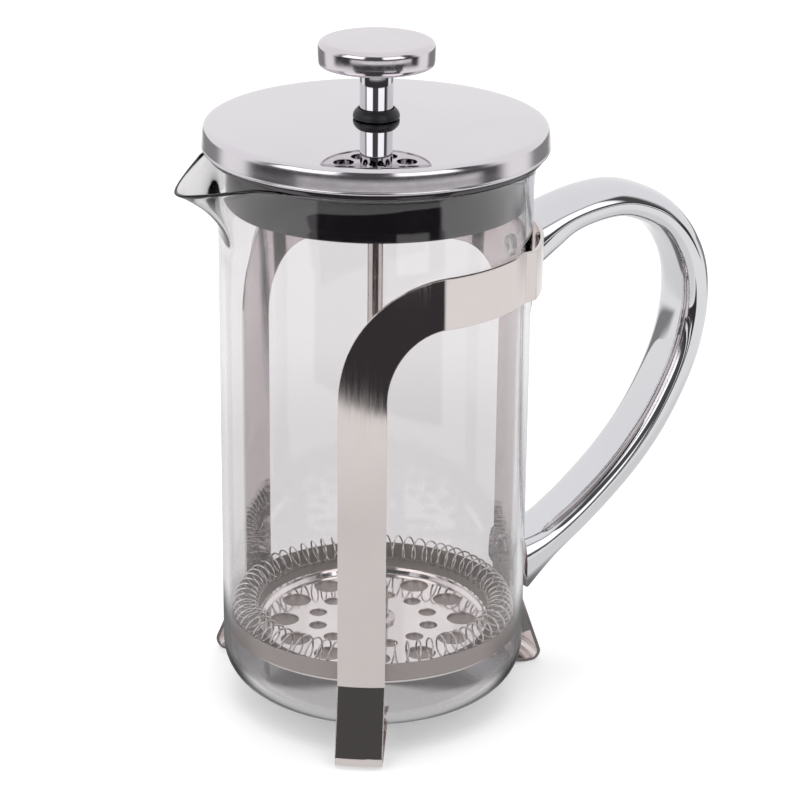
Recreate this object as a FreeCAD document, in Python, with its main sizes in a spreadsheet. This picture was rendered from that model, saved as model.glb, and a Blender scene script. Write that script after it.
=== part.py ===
import FreeCAD, Part
import math
import os

import Sketcher

V = FreeCAD.Vector
doc = FreeCAD.newDocument("french_press")

# ----------------------------------------------------------------------------
# Driving dimensions, millimetres. Frame: +Z up along the beaker's axis, z = 0
# where the feet stand, the handle towards +X, the pouring lip towards -X.
# ----------------------------------------------------------------------------
SIZES = [
    # beaker
    ("glass_radius", 48.25), ("glass_wall", 2.0), ("glass_floor", 2.4),
    ("glass_bottom", 5.0), ("glass_top", 180.2), ("glass_corner", 13.6),
    ("rim_radius", 49.4), ("spout_start", 148.0), ("spout_reach", 66.2),
    ("spout_drop", 5.2), ("spout_half_angle", 44.0), ("spout_nose", 3.2),
    # the part's origin lies under the middle of its box, this far from the beaker's axis
    ("axis_back", 26.3),
    # frame: one stamped strip, three legs and a band open under the lip
    ("strip", 1.1), ("strap_gap", 0.3), ("saddle_step", 2.0),
    ("saddle_angle", 45.5), ("jog_angle", 4.0), ("leg_half", 7.35),
    ("band_low", 139.0), ("band_high", 154.8), ("curve_low", 117.1),
    ("curve_in", 18.2), ("curve_out", 33.0), ("saddle_fillet", 18.5),
    ("flare_top", 24.0), ("crease", 1.6), ("foot_tip", 58.8), ("foot_bend", 3.0),
    ("foot_flat", 2.0), ("pad_end", 31.0), ("pad_start", 37.0),
    # handle and its screws
    ("handle_half_width", 10.4), ("handle_dome", 5.5), ("handle_back", 5.6),
    ("screw_high", 144.0), ("screw_low", 40.4), ("screw_hole", 2.15),
    ("screw_shank", 2.0), ("screw_head", 3.5), ("screw_head_tall", 1.6),
    ("screw_long", 11.0),
    # lid
    ("lid_low", 182.3), ("lid_height", 7.5), ("lid_dome", 1.1),
    ("lid_skirt", 53.0), ("lid_face", 51.0), ("lid_sheet", 0.8),
    ("lid_hole", 5.85), ("lid_bead", 0.55),
    ("collar_low", 166.0), ("collar_radius", 45.9), ("collar_wall", 2.0),
    ("collar_flange", 51.4), ("flange_low", 14.5), ("flange_high", 16.4),
    ("web_low", 19.8), ("web_high", 21.8), ("web_hole", 10.0),
    # bushing in the lid
    ("bushing_low", 185.3), ("bushing_shank", 5.55), ("bushing_seat", 5.7),
    ("bushing_top", 8.9), ("bushing_base", 7.55), ("bushing_bore", 2.52),
    ("bushing_cup", 5.4), ("cup_floor", 6.4),
    ("nut_radius", 8.6), ("nut_thick", 2.4), ("nut_lift", 1.6),
    # plunger: rod, tube, knob
    ("rod_radius", 2.45), ("rod_low", 16.7), ("rod_long", 193.5),
    ("tube_radius", 5.1), ("tube_bore", 2.5), ("tube_low", 191.9),
    ("tube_long", 17.3),
    ("knob_low", 207.7), ("knob_tall", 7.4), ("knob_radius", 17.9),
    ("knob_sheet", 0.9), ("knob_round", 1.6), ("core_radius", 16.95),
    ("core_low", 208.1), ("core_tall", 6.05), ("core_hub", 5.6),
    ("pocket_depth", 3.6), ("pocket_radius", 3.3), ("pocket_circle", 10.8),
    # filter stack
    ("cross_low", 21.7), ("cross_thick", 0.8), ("cross_radius", 45.0),
    ("large_hole", 4.7), ("large_circle", 28.7), ("hole_turn", 5.6), ("small_turn", 20.0), ("small_hole", 2.85),
    ("small_circle", 18.4), ("hole_count", 12),
    ("mesh_low", 22.55), ("mesh_thick", 0.35), ("mesh_radius", 45.95),
    ("mesh_lip", 7.8), ("dish_radius", 39.0), ("dish_rise", 1.9),
    ("plate_low", 22.95), ("plate_thick", 0.8), ("plate_radius", 37.1),
    ("plate_rim", 2.6), ("coil_mid", 30.8), ("coil_ring", 41.1),
    ("coil_tube", 4.4),
    ("hub_low", 23.8), ("hub_tall", 13.0), ("hub_radius", 6.5),
    ("endnut_low", 17.7), ("endnut_tall", 3.95), ("endnut_radius", 6.2),
]
sheet = doc.addObject("Spreadsheet::Sheet", "sizes")
SZ = {}
for row, (alias, value) in enumerate(SIZES, start=1):
    sheet.set("A%d" % row, alias)
    sheet.set("B%d" % row, repr(value))
    sheet.setAlias("B%d" % row, alias)
doc.recompute()
for alias, _ in SIZES:
    SZ[alias] = float(getattr(sheet, alias))


def ev(expr):
    """Value of a sheet expression written with bare alias names."""
    out, word = [], ""
    for ch in expr + " ":
        if ch.isalpha() or ch == "_" or (word and ch.isdigit()):
            word += ch
        else:
            if word:
                out.append(repr(SZ[word]))
                word = ""
            out.append(ch)
    return arith("".join(out))


def arith(text):
    """Plain + - * / with brackets."""
    toks, i = [], 0
    while i < len(text):
        c = text[i]
        if c.isspace():
            i += 1
        elif c.isdigit() or c == ".":
            j = i
            while j < len(text) and (text[j].isdigit() or text[j] in ".e"):
                j += 1
            toks.append(float(text[i:j]))
            i = j
        else:
            toks.append(c)
            i += 1
    pos = [0]

    def peek():
        return toks[pos[0]] if pos[0] < len(toks) else None

    def atom():
        t = peek()
        pos[0] += 1
        if t == "(":
            v = addsub()
            pos[0] += 1
            return v
        if t == "-":
            return -atom()
        return t

    def muldiv():
        v = atom()
        while peek() in ("*", "/"):
            o = peek()
            pos[0] += 1
            w = atom()
            v = v * w if o == "*" else v / w
        return v

    def addsub():
        v = muldiv()
        while peek() in ("+", "-"):
            o = peek()
            pos[0] += 1
            w = muldiv()
            v = v + w if o == "+" else v - w
        return v

    return addsub()


def bound(expr):
    """The same expression with each alias read from the sheet."""
    out, word = [], ""
    for ch in expr + " ":
        if ch.isalpha() or ch == "_" or (word and ch.isdigit()):
            word += ch
        else:
            if word:
                out.append("sizes." + word)
                word = ""
            out.append(ch)
    return "".join(out).strip()


def plane_of(body, role):
    for f in body.Origin.OriginFeatures:
        if f.Role == role:
            return f
    raise RuntimeError(role)


def new_body(name, lift="0"):
    body = doc.addObject("PartDesign::Body", name)
    body.Label = name
    if lift != "0":
        body.setExpression("Placement.Base.z", bound(lift))
    return body


def new_sketch(body, name, role):
    sk = body.newObject("Sketcher::SketchObject", name)
    sk.AttachmentSupport = [(plane_of(body, role), "")]
    sk.MapMode = "FlatFace"
    return sk


def pin_point(sk, geo, pos, xe, ye):
    """Holds one sketch point at (xe, ye), both sheet expressions."""
    for kind, axis, expr in (("DistanceX", -2, xe), ("DistanceY", -1, ye)):
        val = ev(expr)
        if abs(val) < 1e-12:
            sk.addConstraint(Sketcher.Constraint("PointOnObject", geo, pos, axis))
        else:
            k = sk.addConstraint(Sketcher.Constraint(kind, -1, 1, geo, pos, val))
            sk.setExpression("Constraints[%d]" % k, bound(expr))


def outline(sk, pts):
    """Closed outline. Each entry is (x, y) or (x, y, radius, side): side +1
    makes the edge leaving that corner an arc that bulges to its right."""
    n = len(pts)
    P = [V(ev(p[0]), ev(p[1]), 0) for p in pts]
    segs = []
    for i in range(n):
        a, b = P[i], P[(i + 1) % n]
        if len(pts[i]) == 2:
            g = sk.addGeometry(Part.LineSegment(a, b), False)
            segs.append((g, 1, 2, None))
        else:
            rad, side = ev(pts[i][2]), pts[i][3]
            mid, d = (a + b) * 0.5, b - a
            left = V(-d.y, d.x, 0).normalize()
            hgt = math.sqrt(max(rad * rad - (d.Length / 2) ** 2, 0.0))
            cen = mid + left * (hgt * side)
            a0 = math.atan2(a.y - cen.y, a.x - cen.x)
            a1 = math.atan2(b.y - cen.y, b.x - cen.x)
            if side > 0:
                arc = Part.ArcOfCircle(Part.Circle(cen, V(0, 0, 1), rad), a0, a1)
                segs.append((sk.addGeometry(arc, False), 1, 2, pts[i][2]))
            else:
                arc = Part.ArcOfCircle(Part.Circle(cen, V(0, 0, 1), rad), a1, a0)
                segs.append((sk.addGeometry(arc, False), 2, 1, pts[i][2]))
    for i in range(n):
        g, _, e, _ = segs[i]
        h, st, _, _ = segs[(i + 1) % n]
        sk.addConstraint(Sketcher.Constraint("Coincident", g, e, h, st))
    for i in range(n):
        g, st, _, rad = segs[i]
        pin_point(sk, g, st, pts[i][0], pts[i][1])
        if rad is not None:
            k = sk.addConstraint(Sketcher.Constraint("Radius", g, ev(rad)))
            sk.setExpression("Constraints[%d]" % k, bound(rad))


def turned(name, lift, pts):
    """A turned piece: its half section, spun about the vertical axis."""
    body = new_body(name, lift)
    sk = new_sketch(body, name + "_section", "XZ_Plane")
    outline(sk, pts)
    rev = body.newObject("PartDesign::Revolution", name + "_turn")
    rev.Profile = sk
    rev.ReferenceAxis = (sk, ["V_Axis"])
    rev.Angle = 360.0
    doc.recompute()
    return body


def round_edges(body, name, want, size):
    """Rounds the edges of the tip for which want(edge) is true."""
    base = body.Tip
    names = ["Edge%d" % (i + 1) for i, e in enumerate(base.Shape.Edges) if want(e)]
    fil = body.newObject("PartDesign::Fillet", name)
    fil.Base = (base, names)
    fil.setExpression("Radius", bound(size))
    body.Tip = fil
    doc.recompute()
    return fil


def circle_at(e, rad, z):
    c = e.Curve
    return (isinstance(c, Part.Circle) and abs(c.Radius - rad) < 0.02
            and abs(c.Center.z - z) < 0.02)


def holes(body, name, plane_z, circle, radius, count, turn=0.0, plane="XY_Plane", depth="6"):
    """A ring of equal round holes through a plate."""
    sk = new_sketch(body, name + "_sketch", plane)
    a = math.radians(turn)
    cx, cy = ev(circle) * math.cos(a), ev(circle) * math.sin(a)
    g = sk.addGeometry(Part.Circle(V(cx, cy, 0), V(0, 0, 1), ev(radius)), False)
    k = sk.addConstraint(Sketcher.Constraint("Radius", g, ev(radius)))
    sk.setExpression("Constraints[%d]" % k, bound(radius))
    k = sk.addConstraint(Sketcher.Constraint("Distance", -1, 1, g, 3, ev(circle)))
    sk.setExpression("Constraints[%d]" % k, bound(circle))
    if abs(cx) > 1e-9 and abs(cy) > 1e-9:
        k = sk.addConstraint(Sketcher.Constraint("DistanceX", -1, 1, g, 3, cx))
        sk.setExpression("Constraints[%d]" % k, "(" + bound(circle) + ")*" + repr(math.cos(a)))
    else:
        sk.addConstraint(Sketcher.Constraint("PointOnObject", g, 3, -1 if abs(cy) < 1e-9 else -2))
    before = body.Shape.Volume
    cut = body.newObject("PartDesign::Pocket", name)
    cut.Profile = sk
    cut.Type = 0
    cut.Length = 40.0
    cut.Midplane = True
    doc.recompute()
    pat = body.newObject("PartDesign::PolarPattern", name + "_ring")
    pat.Originals = [cut]
    pat.Axis = (sk, ["N_Axis"])
    pat.Angle = 360.0
    pat.Occurrences = int(count)
    body.Tip = pat
    doc.recompute()
    assert body.Shape.Volume < before - 0.5, name
    return pat


def feature(name, shape, lift=0.0):
    ob = doc.addObject("Part::Feature", name)
    ob.Label = name
    ob.Shape = shape
    ob.Placement = FreeCAD.Placement(V(0, 0, lift), FreeCAD.Rotation())
    return ob


def polar(r, deg, z=0.0):
    a = math.radians(deg)
    return V(r * math.cos(a), r * math.sin(a), z)


S = SZ
O, Z = V(0, 0, 0), V(0, 0, 1)

# ----------------------------------------------------------------------------
# Frame: one polished strip, stamped flat and rolled to the beaker. Band over
# 240 degrees, open under the lip; J-shaped front legs; a leg under the handle.
# ----------------------------------------------------------------------------
t = S["strip"]
r_in = S["glass_radius"] + S["strap_gap"]
r_out = r_in + t
w = S["leg_half"]
zb0, zb1 = S["band_low"], S["band_high"]
zc = S["curve_low"]


def sector(r0, r1, z0, z1, a0, a1):
    f = Part.Face(Part.makePolygon([V(r0, 0, z0), V(r1, 0, z0), V(r1, 0, z1), V(r0, 0, z1), V(r0, 0, z0)]))
    s = f.revolve(O, Z, a1 - a0)
    s.rotate(O, Z, a0)
    return s


def leg(rho, half):
    """Leg and foot: the strip's side profile turned about the beaker's axis,
    then cut to the leg's width. rho is the strip's mid radius."""
    r2 = S["foot_bend"] - t / 2
    zc2 = S["foot_bend"]
    tip_c = S["foot_tip"] - S["foot_bend"]
    lo, hi = math.radians(1), math.radians(80)
    rk = S["crease"]

    def reach(a):
        ln = (S["flare_top"] - rk * math.sin(a) - zc2 - r2 * math.sin(a)) / math.cos(a)
        return rho + rk * (1 - math.cos(a)) + ln * math.sin(a) - r2 * math.cos(a) - tip_c, ln

    for _ in range(60):
        mid = (lo + hi) / 2
        if reach(mid)[0] > 0:
            hi = mid
        else:
            lo = mid
    alpha = (lo + hi) / 2
    slant = reach(alpha)[1]
    rise = (S["glass_bottom"] - S["strap_gap"] - t / 2) - t / 2
    run = (tip_c - S["foot_flat"]) - S["pad_start"]
    beta = math.atan2(rise, run)
    rb = 4.0
    # walk the mid line: heading in degrees, arcs turn by signed angle
    path = [("L", zc + 4 - S["flare_top"]), ("A", rk, math.degrees(alpha)), ("L", slant),
            ("A", r2, -(90 + math.degrees(alpha))), ("L", S["foot_flat"]),
            ("A", rb, -math.degrees(beta)),
            ("L", run / math.cos(beta) - 2 * rb * math.tan(beta / 2)),
            ("A", rb, math.degrees(beta)), ("L", S["pad_start"] - S["pad_end"])]
    p, h = V(rho, 0, zc + 4), -90.0
    left, right = [], []

    def off(q, hd, s):
        n = math.radians(hd + 90)
        return q + V(math.cos(n), 0, math.sin(n)) * s

    for seg in path:
        if seg[0] == "L":
            q = p + V(math.cos(math.radians(h)), 0, math.sin(math.radians(h))) * seg[1]
            left.append(Part.makeLine(off(p, h, t / 2), off(q, h, t / 2)))
            right.append(Part.makeLine(off(p, h, -t / 2), off(q, h, -t / 2)))
            p = q
        else:
            r, turn = seg[1], seg[2]
            sgn = 1 if turn > 0 else -1
            c = off(p, h, r * sgn)

            def at(frac, s):
                hd = h + turn * frac
                n = math.radians(hd + 90)
                return c + V(math.cos(n), 0, math.sin(n)) * (s - r * sgn)

            for lst, s in ((left, t / 2), (right, -t / 2)):
                lst.append(Part.Arc(at(0, s), at(0.5, s), at(1, s)).toShape())
            p = at(1, 0)
            h += turn
    a = left[0].Vertexes[0].Point
    b = right[0].Vertexes[0].Point
    c1 = off(p, h, t / 2)
    d1 = off(p, h, -t / 2)
    edges = left + [Part.makeLine(c1, d1)] + right + [Part.makeLine(a, b)]
    wire = Part.Wire(Part.__sortEdges__(edges))
    face = Part.Face(wire)
    s = face.revolve(O, Z, 40)
    s.rotate(O, Z, -20)
    return s.common(Part.makeBox(80, 2 * half, 260, V(0, -half, -20)))


def arc_map(cx, cz, rx, rz, a0, a1, rmid, n=24):
    """Points of an arc drawn on the flat blank, seen square on after rolling."""
    out = []
    for i in range(n + 1):
        a = math.radians(a0 + (a1 - a0) * i / n)
        s = cx + rx * math.cos(a)
        out.append(V(0, rmid * math.sin(s / rmid), cz + rz * math.sin(a)))
    return out


def spl(pts):
    c = Part.BSplineCurve()
    c.interpolate(pts)
    return c.toShape()


def j_piece(sign):
    rm = (r_in + r_out) / 2
    sw = rm * math.asin(w / rm)
    cs = sw + S["curve_in"]
    ys = lambda s: rm * math.sin(s / rm)
    outer = arc_map(cs, zc, cs + sw, zb1 - zc, 180, 90, rm)
    inner = arc_map(cs, zc, S["curve_in"], zb0 - zc, 90, 180, rm)
    ye = ys(cs + 3.5)
    e = [spl(outer), Part.makeLine(outer[-1], V(0, ye, zb1)),
         Part.makeLine(V(0, ye, zb1), V(0, ye, zb0)),
         Part.makeLine(V(0, ye, zb0), inner[0]), spl(inner),
         Part.makeLine(inner[-1], V(0, inner[-1].y, zc)),
         Part.makeLine(V(0, inner[-1].y, zc), outer[0])] if abs(inner[-1].z - zc) > 1e-9 else \
        [spl(outer), Part.makeLine(outer[-1], V(0, ye, zb1)),
         Part.makeLine(V(0, ye, zb1), V(0, ye, zb0)),
         Part.makeLine(V(0, ye, zb0), inner[0]), spl(inner),
         Part.makeLine(inner[-1], outer[0])]
    f = Part.Face(Part.Wire(Part.__sortEdges__(e)))
    block = f.extrude(V(70, 0, 0))
    shell = sector(r_in, r_out, zc - 1, zb1 + 1, -15, 50)
    s = block.common(shell)
    if sign < 0:
        s = s.mirror(O, V(0, 1, 0))
    return s, math.degrees((cs + 1.8) / rm)


def saddle_top():
    ri, ro = r_in + S["saddle_step"], r_out + S["saddle_step"]
    rm = (ri + ro) / 2
    sw = rm * math.asin(w / rm)
    fr = S["saddle_fillet"]
    cs = sw + fr
    zf = zb0 - fr
    right = arc_map(cs, zf, fr, fr, 180, 90, rm)
    leftp = [V(0, -p.y, p.z) for p in right]
    ye = rm * math.sin((cs + 3.5) / rm)
    e = [spl(right), Part.makeLine(right[-1], V(0, ye, zb0)), Part.makeLine(V(0, ye, zb0), V(0, ye, zb1)),
         Part.makeLine(V(0, ye, zb1), V(0, -ye, zb1)), Part.makeLine(V(0, -ye, zb1), V(0, -ye, zb0)),
         Part.makeLine(V(0, -ye, zb0), leftp[-1]), spl(leftp),
         Part.makeLine(leftp[0], right[0])]
    f = Part.Face(Part.Wire(Part.__sortEdges__(e)))
    s = f.extrude(V(70, 0, 0)).common(sector(ri, ro, zf - 1, zb1 + 1, -50, 50))
    return s, math.degrees((cs + 1.8) / rm)


pieces = []
top, ang_s = saddle_top()
pieces.append(top)
step = S["saddle_step"]
sa, ja = S["saddle_angle"], S["jog_angle"]
for sg in (1, -1):
    a0, a1 = sorted((sg * ang_s, sg * sa))
    pieces.append(sector(r_in + step, r_out + step, zb0, zb1, a0, a1))
    q = [polar(r_in + step, sg * sa, zb0), polar(r_out + step, sg * sa, zb0),
         polar(r_out, sg * (sa + ja), zb0), polar(r_in, sg * (sa + ja), zb0)]
    pieces.append(Part.Face(Part.makePolygon(q + [q[0]])).extrude(V(0, 0, zb1 - zb0)))
    jp, ang_j = j_piece(-sg)
    jp.rotate(O, Z, sg * 120)
    pieces.append(jp)
    a0, a1 = sorted((sg * (sa + ja), sg * (120 - ang_j)))
    pieces.append(sector(r_in, r_out, zb0, zb1, a0, a1))
    lg = leg((r_in + r_out) / 2, w)
    lg = lg.common(Part.makeBox(160, 160, 40 + zc, V(-80, -80, -40)))
    lg.rotate(O, Z, sg * 120)
    pieces.append(lg)
hl = leg((r_in + r_out) / 2 + step, w)
hl = hl.common(Part.makeBox(160, 160, 40 + zb0 - S["saddle_fillet"], V(-80, -80, -40)))
pieces.append(hl)
frame_solid = pieces[0].fuse(pieces[1:]).removeSplitter()
for z in (S["screw_high"], S["screw_low"]):
    frame_solid = frame_solid.cut(Part.makeCylinder(S["screw_hole"], 30, V(40, 0, z), V(1, 0, 0)))
if frame_solid.ShapeType == "Compound" and len(frame_solid.Solids) == 1:
    frame_solid = frame_solid.Solids[0]
assert len(frame_solid.Solids) == 1, "frame solids %d" % len(frame_solid.Solids)
frame_ob = feature("frame", frame_solid)

# ----------------------------------------------------------------------------
# Handle: a bowed loop of D section, domed outside, its ends flared and cut to
# the saddle. Stations run from the upper end to the lower end.
# Each: x, z of the line where dome meets back, width, dome and back factors.
# ----------------------------------------------------------------------------
STATIONS = [
    (49.0, 144.6, 1.18, 1.75, 1.42), (56.5, 148.9, 1.06, 1.30, 1.36), (64.5, 152.8, 1.01, 1.02, 1.14),
    (74.1, 155.1, 1.0, 1.0, 1.03), (84.0, 155.6, 1.0, 1.0, 1.0), (92.8, 153.1, 1.0, 1.0, 1.0),
    (100.5, 148.5, 1.0, 1.0, 1.0), (107.3, 140.6, 1.0, 1.0, 1.0), (111.7, 130.7, 1.0, 1.0, 1.0),
    (113.1, 119.0, 1.0, 1.0, 1.0), (111.8, 107.6, 1.0, 1.0, 1.0), (108.9, 97.5, 1.0, 1.0, 1.0),
    (104.2, 87.1, 1.0, 1.0, 1.0), (98.1, 76.7, 1.0, 1.0, 1.0), (90.2, 66.6, 1.0, 1.0, 1.0),
    (80.8, 57.2, 1.0, 1.0, 1.0), (70.7, 48.5, 1.0, 1.0, 1.05), (61.0, 41.2, 1.0, 1.05, 1.3),
    (49.0, 34.4, 1.12, 1.80, 2.1),
]


def handle_section(px, pz, nx, nz, fw, fd, fb):
    pts = []
    hw, hd, hb = S["handle_half_width"] * fw, S["handle_dome"] * fd, S["handle_back"] * fb
    n = 28
    for i in range(n):
        a = 2 * math.pi * i / n
        c, s = math.cos(a), math.sin(a)
        if s >= 0:
            y, u = hw * abs(c) ** 0.86 * (1 if c >= 0 else -1), hd * s ** 0.92
        else:
            y, u = hw * abs(c) ** 0.74 * (1 if c >= 0 else -1), -hb * (-s) ** 0.66
        pts.append(V(px + nx * u, y, pz + nz * u))
    c = Part.BSplineCurve()
    c.interpolate(Points=pts, PeriodicFlag=True)
    return Part.Wire([c.toShape()])


wires = []
for i, (px, pz, fw, fd, fb) in enumerate(STATIONS):
    j0, j1 = max(i - 1, 0), min(i + 1, len(STATIONS) - 1)
    tx, tz = STATIONS[j1][0] - STATIONS[j0][0], STATIONS[j1][1] - STATIONS[j0][1]
    ln = math.hypot(tx, tz)
    nx, nz = -tz / ln, tx / ln
    wires.append(handle_section(px, pz, nx, nz, fw, fd, fb))
handle_solid = Part.makeLoft(wires, True, False, False)
handle_solid = handle_solid.cut(Part.makeCylinder(r_out + step, 260, V(0, 0, -20)))
for z in (S["screw_high"], S["screw_low"]):
    handle_solid = handle_solid.cut(Part.makeCylinder(S["screw_shank"] + 0.05, S["screw_long"] - 1.0, V(48, 0, z), V(1, 0, 0)))
if handle_solid.ShapeType == "Compound" and len(handle_solid.Solids) == 1:
    handle_solid = handle_solid.Solids[0]
assert len(handle_solid.Solids) == 1, "handle solids %d" % len(handle_solid.Solids)
handle_ob = feature("handle", handle_solid)

# Two equal pan head screws from inside the saddle out into the handle.
screws = []
for z in (S["screw_high"], S["screw_low"]):
    x0 = r_in + step - 0.02
    head = Part.makeCylinder(S["screw_head"], S["screw_head_tall"], V(x0 - S["screw_head_tall"], 0, z), V(1, 0, 0))
    head = head.makeFillet(0.9, [e for e in head.Edges if isinstance(e.Curve, Part.Circle) and e.Curve.Center.x < x0 - 1])
    shank = Part.makeCylinder(S["screw_shank"], S["screw_long"] - 4.0, V(x0 - 0.2, 0, z), V(1, 0, 0))
    sc = head.fuse(shank)
    for dy, dz in ((3.2, 0.7), (0.7, 3.2)):
        sc = sc.cut(Part.makeBox(0.9, dy, dz, V(x0 - S["screw_head_tall"] - 0.1, -dy / 2, z - dz / 2)))
    screws.append(sc)
screw_ob = feature("handle_screws", Part.makeCompound(screws))

# ----------------------------------------------------------------------------
# Beaker: blown glass, rounded foot, rim flared a little, lip drawn out to -X.
# ----------------------------------------------------------------------------
rg, gw = S["glass_radius"], S["glass_wall"]
z0g, z1g = S["glass_bottom"], S["glass_top"]
rc = S["glass_corner"]
zs = S["spout_start"]
z_flare = zs + 0.62 * (z1g - zs)


def cup(inset, zlow, over):
    """Turned body of the beaker with its flared rim, wall set in by inset."""
    radius, corner = rg - inset, rc - inset
    rim = S["rim_radius"] - inset
    k = corner * math.sqrt(0.5)
    dx, dzf = rim - radius, z1g - z_flare
    r = (dx * dx + dzf * dzf) / (2 * dx)
    half = math.asin(dzf / r) / 2
    mid = V(radius + r * (1 - math.cos(half)), 0, z_flare + r * math.sin(half))
    pts = [V(0, 0, zlow), V(radius - corner, 0, zlow), V(radius, 0, zlow + corner),
           V(radius, 0, z_flare), V(rim, 0, z1g)]
    e = [Part.makeLine(pts[0], pts[1]),
         Part.Arc(pts[1], V(radius - corner + k, 0, zlow + corner - k), pts[2]).toShape(),
         Part.makeLine(pts[2], pts[3]), Part.Arc(pts[3], mid, pts[4]).toShape()]
    last = pts[4]
    if over > 0:
        e.append(Part.makeLine(last, V(rim, 0, z1g + over)))
        last = V(rim, 0, z1g + over)
    e += [Part.makeLine(last, V(0, 0, last.z)), Part.makeLine(V(0, 0, last.z), pts[0])]
    return Part.Face(Part.Wire(e)).revolve(O, Z, 360)


def lip_law(turn, half, nose):
    """How far the rim stands out at an angle from the lip's middle: nearly straight flanks and a rounded nose."""
    def raw(d):
        k = max(0.0, 1.0 - d / half)
        return 0.7 * k ** 4 + 0.3 * k ** 1.5
    return raw(math.sqrt(turn * turn + nose * nose) * half / math.sqrt(half * half + nose * nose)) / raw(nose * half / math.sqrt(half * half + nose * nose))


def lip(inset, over):
    """The drawn lip: a loft of bulged curves closed inside the beaker."""
    ws = []
    flare = S["rim_radius"] - rg
    reach = S["spout_reach"] - S["rim_radius"]
    u_tip = (z1g - S["spout_drop"] - zs) / (z1g - zs)
    levels = [zs + k for k in (0.0, 5.0, 10.0, 15.0, 20.0, 25.0, 29.0)] + [z1g]
    if over > 0:
        levels.append(z1g + over)
    n = 44
    for z in levels:
        u = min((z - zs) / (z1g - zs), 1.0)
        f = flare * max(0.0, (u - 0.62) / 0.38) ** 2
        amp = reach * (max(0.0, u - 0.08) / (u_tip - 0.08)) ** 2.4
        half = S["spout_half_angle"]
        pts = []
        for i in range(n + 1):
            ph = 180.0 - half + 2 * half * i / n
            b = lip_law(abs(ph - 180.0), half, S["spout_nose"])
            pts.append(polar(rg + f + amp * b - inset - 0.30 * (1.0 - b), ph, z))
        c = Part.BSplineCurve()
        c.interpolate(pts)
        a0, a1 = polar(30.0, 180.0 - half, z), polar(30.0, 180.0 + half, z)
        ws.append(Part.Wire([c.toShape(), Part.makeLine(pts[-1], a1), Part.makeLine(a1, a0), Part.makeLine(a0, pts[0])]))
    return Part.makeLoft(ws, True, False, False)


outer = cup(0.0, z0g, 0.0).fuse(lip(0.0, 0.0))
inner = cup(gw, z0g + S["glass_floor"], 1.2).fuse(lip(gw, 1.2))
glass = outer.cut(inner)
xr, xt = -S["rim_radius"] + 0.4, -S["spout_reach"]
dz = S["spout_drop"]
slope = dz / (xr - xt)
tri = Part.Face(Part.makePolygon([V(xr, -50, z1g), V(xt - 24, -50, z1g - slope * (xr - xt + 24)), V(xt - 24, -50, z1g + 8), V(xr, -50, z1g + 8), V(xr, -50, z1g)]))
glass = glass.cut(tri.extrude(V(0, 100, 0)))
if glass.ShapeType == "Compound" and len(glass.Solids) == 1:
    glass = glass.Solids[0]
assert len(glass.Solids) == 1, "glass solids %d" % len(glass.Solids)
beaker_ob = feature("beaker", glass)

# ----------------------------------------------------------------------------
# Lid: pressed steel cover, black collar that sits in the glass, bushing.
# ----------------------------------------------------------------------------
dome_r = "((lid_face*lid_face)/(2*lid_dome))"
turned("lid_cover", "lid_low", [
    ("lid_skirt", "0.9"),
    ("lid_skirt-0.35", "lid_height-2.4", "2.5", 1),
    ("lid_face", "lid_height", dome_r, 1),
    ("lid_hole", "lid_height+lid_dome"),
    ("lid_hole", "lid_height+lid_dome-lid_sheet", dome_r, -1),
    ("lid_face-0.5", "lid_height-lid_sheet"),
    ("lid_skirt-0.35-lid_sheet", "lid_height-2.4"),
    ("lid_skirt-lid_sheet", "0"),
    ("lid_skirt-0.2", "0", "0.6", 1),
])
turned("lid_collar", "collar_low", [
    ("collar_radius-0.35", "0"),
    ("collar_radius", "0.5"),
    ("collar_radius", "flange_low"),
    ("collar_flange-0.4", "flange_low"),
    ("collar_flange", "flange_low+0.4"),
    ("collar_flange", "flange_high"),
    ("collar_radius", "flange_high+0.6"),
    ("collar_radius", "web_high-0.5"),
    ("collar_radius-0.5", "web_high"),
    ("web_hole", "web_high"),
    ("web_hole", "web_low"),
    ("collar_radius-collar_wall", "web_low"),
    ("collar_radius-collar_wall", "0"),
])
turned("lid_bushing", "bushing_low", [
    ("bushing_bore", "0"),
    ("bushing_shank", "0"),
    ("bushing_shank", "bushing_seat+0.15"),
    ("bushing_base", "bushing_seat+0.15"),
    ("bushing_base", "bushing_seat+0.7", "3.6", 1),
    ("bushing_cup+0.35", "bushing_top"),
    ("bushing_cup", "bushing_top"),
    ("bushing_cup", "cup_floor"),
    ("bushing_bore", "cup_floor"),
])
turned("bushing_nut", "bushing_low+nut_lift", [
    ("bushing_shank", "0"),
    ("nut_radius", "0"),
    ("nut_radius", "nut_thick"),
    ("bushing_shank", "nut_thick"),
])

# ----------------------------------------------------------------------------
# Plunger: rod, tube over its upper end, pressed steel knob with moulded core.
# ----------------------------------------------------------------------------
rod = doc.addObject("Part::Cylinder", "plunger_rod")
rod.Label = "plunger_rod"
rod.setExpression("Radius", "sizes.rod_radius")
rod.setExpression("Height", "sizes.rod_long")
rod.setExpression("Placement.Base.z", "sizes.rod_low")

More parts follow.
